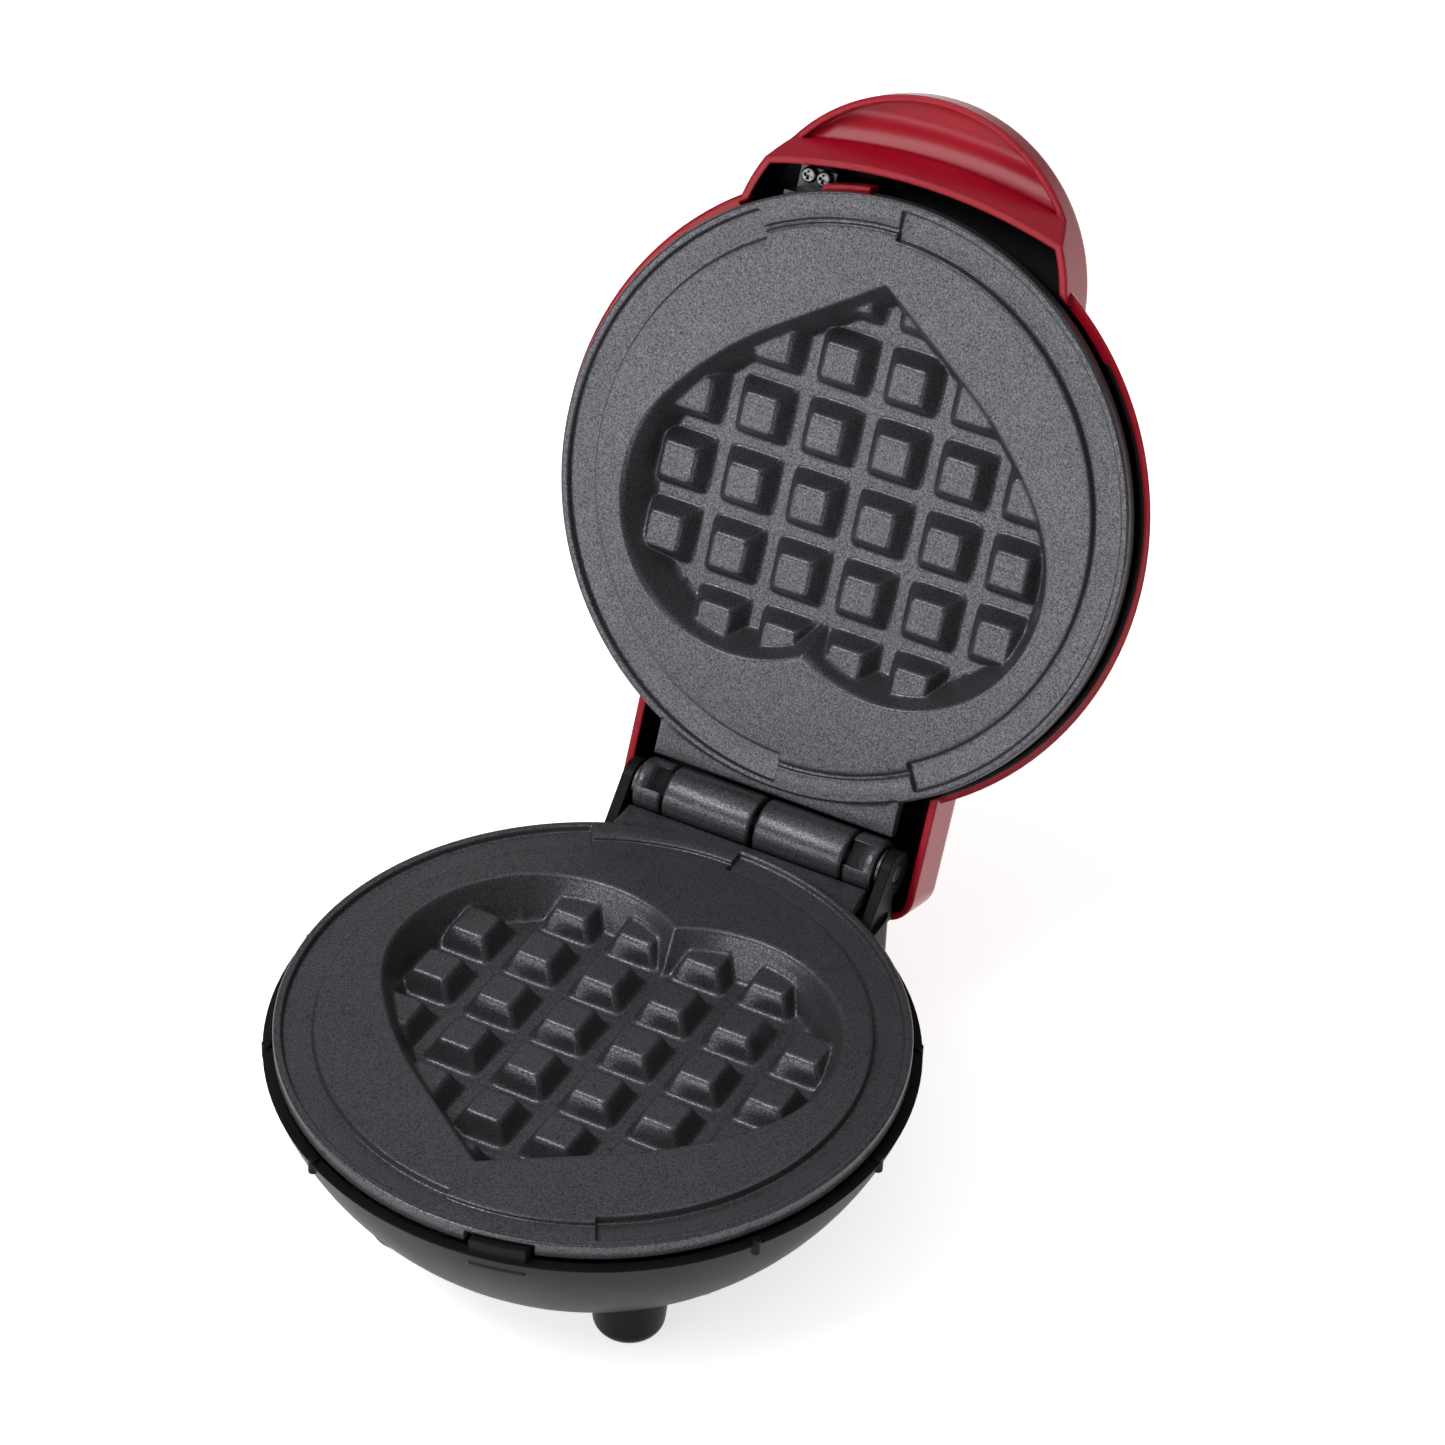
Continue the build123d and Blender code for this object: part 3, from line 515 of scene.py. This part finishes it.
def shell_with_painted_shade(name, colour):
    """Red shell with painted shade: its hollow side and the handle's pocket, which lie in shade, are black, told
    apart by position.

    The ball also takes in the outside of the crown, and the hood's box the rounding of its edge,
    so those are black too.
    """
    material, tree, shader, place = new_material(name)
    (x, y, z), calc, within = position_tests(tree, place)
    dome = within(DOME_CENTRE, DOME_REACH)
    side = calc("LESS_THAN", calc("ABSOLUTE", x, 0), HOOD_HALF_WIDTH)
    hood = calc("MULTIPLY", side, calc("GREATER_THAN", y, HOOD_FRONT))
    hood = calc("MULTIPLY", hood, calc("LESS_THAN", y, HOOD_REAR))
    hood = calc("MULTIPLY", hood, calc("LESS_THAN", z, HOOD_TOP))
    pocket = calc("MULTIPLY", within(POCKET_CENTRE, POCKET_RADIUS), within(HANDLE_CENTRE, HANDLE_REACH))
    pocket = calc("MULTIPLY", pocket, calc("LESS_THAN", z, POCKET_TOP))
    # painted shade: the hollow side and the handle's pocket, where the inside lies in shade, are painted black
    hollow = calc("MAXIMUM", calc("MAXIMUM", dome, hood), pocket)
    hollow = calc("MULTIPLY", hollow, calc("GREATER_THAN", z, HOLLOW_BOTTOM))
    tab = calc("MULTIPLY", within((0, 0), CATCH_RADIUS), calc("LESS_THAN", z, CATCH_TOP))
    tab = calc("MULTIPLY", tab, calc("LESS_THAN", y, CATCH_REAR))
    hollow = calc("MULTIPLY", hollow, calc("SUBTRACT", 1, tab))
    broad = noise(tree, place, 14.0, 3.0)
    fine = noise(tree, place, 1.2, 2.0)
    darker = tuple(0.85 * c for c in colour)
    red = ramp(tree, broad, ((0.3, darker), (0.7, colour)))
    # near-black colour of the painted shade
    painted_shade_colour = ramp(tree, broad, ((0.3, grey(0.004)), (0.7, grey(0.007))))
    mix = tree.nodes.new("ShaderNodeMix")
    mix.data_type = "RGBA"
    tree.links.new(hollow, mix.inputs["Factor"])
    tree.links.new(red, mix.inputs[6])
    tree.links.new(painted_shade_colour, mix.inputs[7])
    tree.links.new(mix.outputs[2], shader.inputs["Base Color"])
    gloss = spread(tree, broad, 0.2, 0.25)
    matt = calc("MULTIPLY", hollow, 0.3)
    tree.links.new(calc("ADD", gloss, matt), shader.inputs["Roughness"])
    shader.inputs["Specular IOR Level"].default_value = 0.22
    bump(tree, shader, fine, 0.003, below=round_edges(tree, 0.9))
    return material


def plastic(name, colour, roughness, coat=0.0, texture=0.004, size=0.8, edge=0.0, specular=0.5):
    """Moulded plastic with a faint texture, uneven gloss and eased edges."""
    material, tree, shader, place = new_material(name)
    broad = noise(tree, place, 14.0, 3.0)
    fine = noise(tree, place, size, 2.0)
    darker = tuple(0.85 * c for c in colour)
    tree.links.new(ramp(tree, broad, ((0.3, darker), (0.7, colour))), shader.inputs["Base Color"])
    tree.links.new(spread(tree, broad, roughness * 0.92, roughness * 1.1), shader.inputs["Roughness"])
    shader.inputs["Specular IOR Level"].default_value = specular
    shader.inputs["Coat Weight"].default_value = coat
    shader.inputs["Coat Roughness"].default_value = 0.06
    bump(tree, shader, fine, texture, below=round_edges(tree, edge) if edge else None)
    return material


def metal(name, colour, roughness, size=0.5, texture=0.004, edge=0.0):
    """Bare metal with fine scuffs."""
    material, tree, shader, place = new_material(name)
    shader.inputs["Metallic"].default_value = 1.0
    fine = noise(tree, place, size, 4.0, 0.6)
    darker = tuple(0.75 * c for c in colour)
    tree.links.new(ramp(tree, fine, ((0.35, darker), (0.6, colour))), shader.inputs["Base Color"])
    tree.links.new(spread(tree, fine, roughness * 0.8, roughness * 1.25), shader.inputs["Roughness"])
    bump(tree, shader, fine, texture, below=round_edges(tree, edge) if edge else None)
    return material


COATING = coating("plate_coating", grey(0.004, -0.05), (0.165, 0.162, 0.182), 0.33, 0.022)
# red shell whose hollow side and handle pocket carry painted shade
RED = shell_with_painted_shade("red_gloss", (0.34, 0.004, 0.016))
BOWL = plastic("charcoal_satin", grey(0.01, -0.02), 0.4, 0.0, 0.006, 0.6, 0.5, 0.07)
BLACK = plastic("black_gloss", grey(0.006), 0.22, 0.2, 0.003, 0.8, 0.4)
RUBBER = plastic("foot_rubber", grey(0.004), 0.4, 0.0, 0.008, 0.4, 0.0, 0.09)
STEEL = metal("steel", grey(0.55), 0.3)
DARK_STEEL = metal("dark_steel", grey(0.09), 0.38, 0.5, 0.004, 0.2)
BRIGHT = metal("bright_steel", grey(0.22), 0.3)
SHEET = metal("reflector_sheet", grey(0.7), 0.35, 1.5)
SHEATH = metal("heater_sheath", (0.3, 0.27, 0.25), 0.45)
BRASS = metal("brass", (0.65, 0.45, 0.15), 0.3)
CERAMIC = plastic("ceramic", (0.75, 0.72, 0.66), 0.5)
SLEEVE = plastic("woven_sleeve", (0.55, 0.52, 0.47), 0.8, 0.0, 0.05, 0.6)
LENS = plastic("lens", (0.5, 0.03, 0.02), 0.1, 0.8)

SLOT_MATERIALS = {
    "dark_shell": BOWL, "red_shell": RED, "plate": COATING, "rubber_foot": RUBBER, "steel": STEEL,
    "bright_steel": BRIGHT, "sheet_metal": SHEET, "heater_sheath": SHEATH, "brass": BRASS,
    "black_plastic": BLACK, "ceramic": CERAMIC, "lens": LENS, "lead": SLEEVE,
}


def paint(piece, material):
    """One material on the whole piece."""
    piece.data.materials.clear()
    piece.data.materials.append(material)


NODE_MATERIALS = {"hinge_pin": DARK_STEEL, "hinge_washers": DARK_STEEL, "lid_bracket": DARK_STEEL}

for row in frame["record"]["subparts"]:
    node = frame["nodes"][row["node"]]
    material = NODE_MATERIALS.get(row["node"], SLOT_MATERIALS[row["material_slot"]])
    for index in range(len(node.data.materials)):
        node.data.materials[index] = material

# --- pieces ---
lower_casting = build_plate("lower_casting", LOWER, "base")
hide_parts("lower_plate")
paint(lower_casting, COATING)

upper_casting = build_plate("upper_casting", UPPER, "lid")
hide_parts("upper_plate")
paint(upper_casting, COATING)

# --- floor, light and camera ---
floor_mesh = bpy.data.meshes.new("floor")
FLOOR_HALF = 4.0
floor_corners = [(x * FLOOR_HALF, y * FLOOR_HALF, 0) for x, y in ((-1, -1), (1, -1), (1, 1), (-1, 1))]
floor_mesh.from_pydata(floor_corners, [], [(0, 1, 2, 3)])
floor = bpy.data.objects.new("floor", floor_mesh)
bpy.context.scene.collection.objects.link(floor)
floor_material, floor_tree, floor_shader, floor_place = new_material("floor_paper")
floor_tone = noise(floor_tree, floor_place, 60.0)
floor_tree.links.new(
    ramp(floor_tree, floor_tone, ((0.3, grey(0.9)), (0.7, grey(0.92)))), floor_shader.inputs["Base Color"])
floor_shader.inputs["Roughness"].default_value = 0.9
floor_shader.inputs["Emission Color"].default_value = (1, 1, 1, 1)
floor_shader.inputs["Emission Strength"].default_value = 0.72
floor_shader.inputs["Specular IOR Level"].default_value = 0.1
paint(floor, floor_material)

world = bpy.data.worlds.new("studio")
world.use_nodes = True
world.node_tree.nodes["Background"].inputs["Color"].default_value = (1, 1, 1, 1)
world.node_tree.nodes["Background"].inputs["Strength"].default_value = 0.18
bpy.context.scene.world = world


def softbox(name, direction, distance, width, height, power, target):
    """Rectangular area light that looks at the target."""
    light = bpy.data.lights.new(name, "AREA")
    light.shape = "RECTANGLE"
    light.size = width
    light.size_y = height
    light.energy = power
    lamp = bpy.data.objects.new(name, light)
    lamp.location = target + Vector(direction).normalized() * distance
    lamp.rotation_euler = (target - lamp.location).to_track_quat("-Z", "Y").to_euler()
    bpy.context.scene.collection.objects.link(lamp)


LID_MIDDLE = UPPER @ Vector((0, 0, 0))
LOWER_MIDDLE = LOWER @ Vector((0, 0, 0))
# low card whose reflection fills the upper plate, small key for the blocks' front edges, large overhead
# fill, and a weak card behind for the lower plate
softbox("card", (-0.357, -0.933, 0.15), 1.0, 1.0, 0.14, 2.8, LID_MIDDLE)
softbox("key", (-0.357, -0.45, 0.82), 1.2, 0.8, 0.4, 7.5, LOWER_MIDDLE)
softbox("overhead", (0.05, 0.1, 1.0), 2.5, 3.0, 3.0, 16.0, LOWER_MIDDLE)
softbox("back_card", (-0.42, 0.68, 0.6), 1.5, 1.2, 0.8, 0.8, LOWER_MIDDLE)

# camera: azimuth, elevation and roll in degrees, distance and target in millimetres from the plate's centre
CAMERA_AZIMUTH = math.radians(26.81)
CAMERA_ELEVATION = math.radians(37.74)
CAMERA_ROLL = math.radians(2.40)
CAMERA_DISTANCE = 816.71
CAMERA_TARGET = (23.96, 0.0, 79.4)
FIELD_OF_VIEW = 2 * math.atan(1445 / 2 / 4741.73)

back = Vector((
    math.sin(CAMERA_AZIMUTH) * math.cos(CAMERA_ELEVATION),
    -math.cos(CAMERA_AZIMUTH) * math.cos(CAMERA_ELEVATION),
    math.sin(CAMERA_ELEVATION),
))
level = (-back).cross(Vector((0, 0, 1))).normalized()
upright = level.cross(-back)
right = level * math.cos(CAMERA_ROLL) + upright * math.sin(CAMERA_ROLL)
up = upright * math.cos(CAMERA_ROLL) - level * math.sin(CAMERA_ROLL)
target = LOWER @ Vector(CAMERA_TARGET)
lens = bpy.data.cameras.new("camera")
lens.angle = FIELD_OF_VIEW
camera = bpy.data.objects.new("camera", lens)
turned = Matrix((right, up, back)).transposed().to_4x4()
camera.matrix_world = Matrix.Translation(target + back * CAMERA_DISTANCE * MM) @ turned
bpy.context.scene.collection.objects.link(camera)
bpy.context.scene.camera = camera
bpy.context.scene.view_settings.view_transform = "Standard"
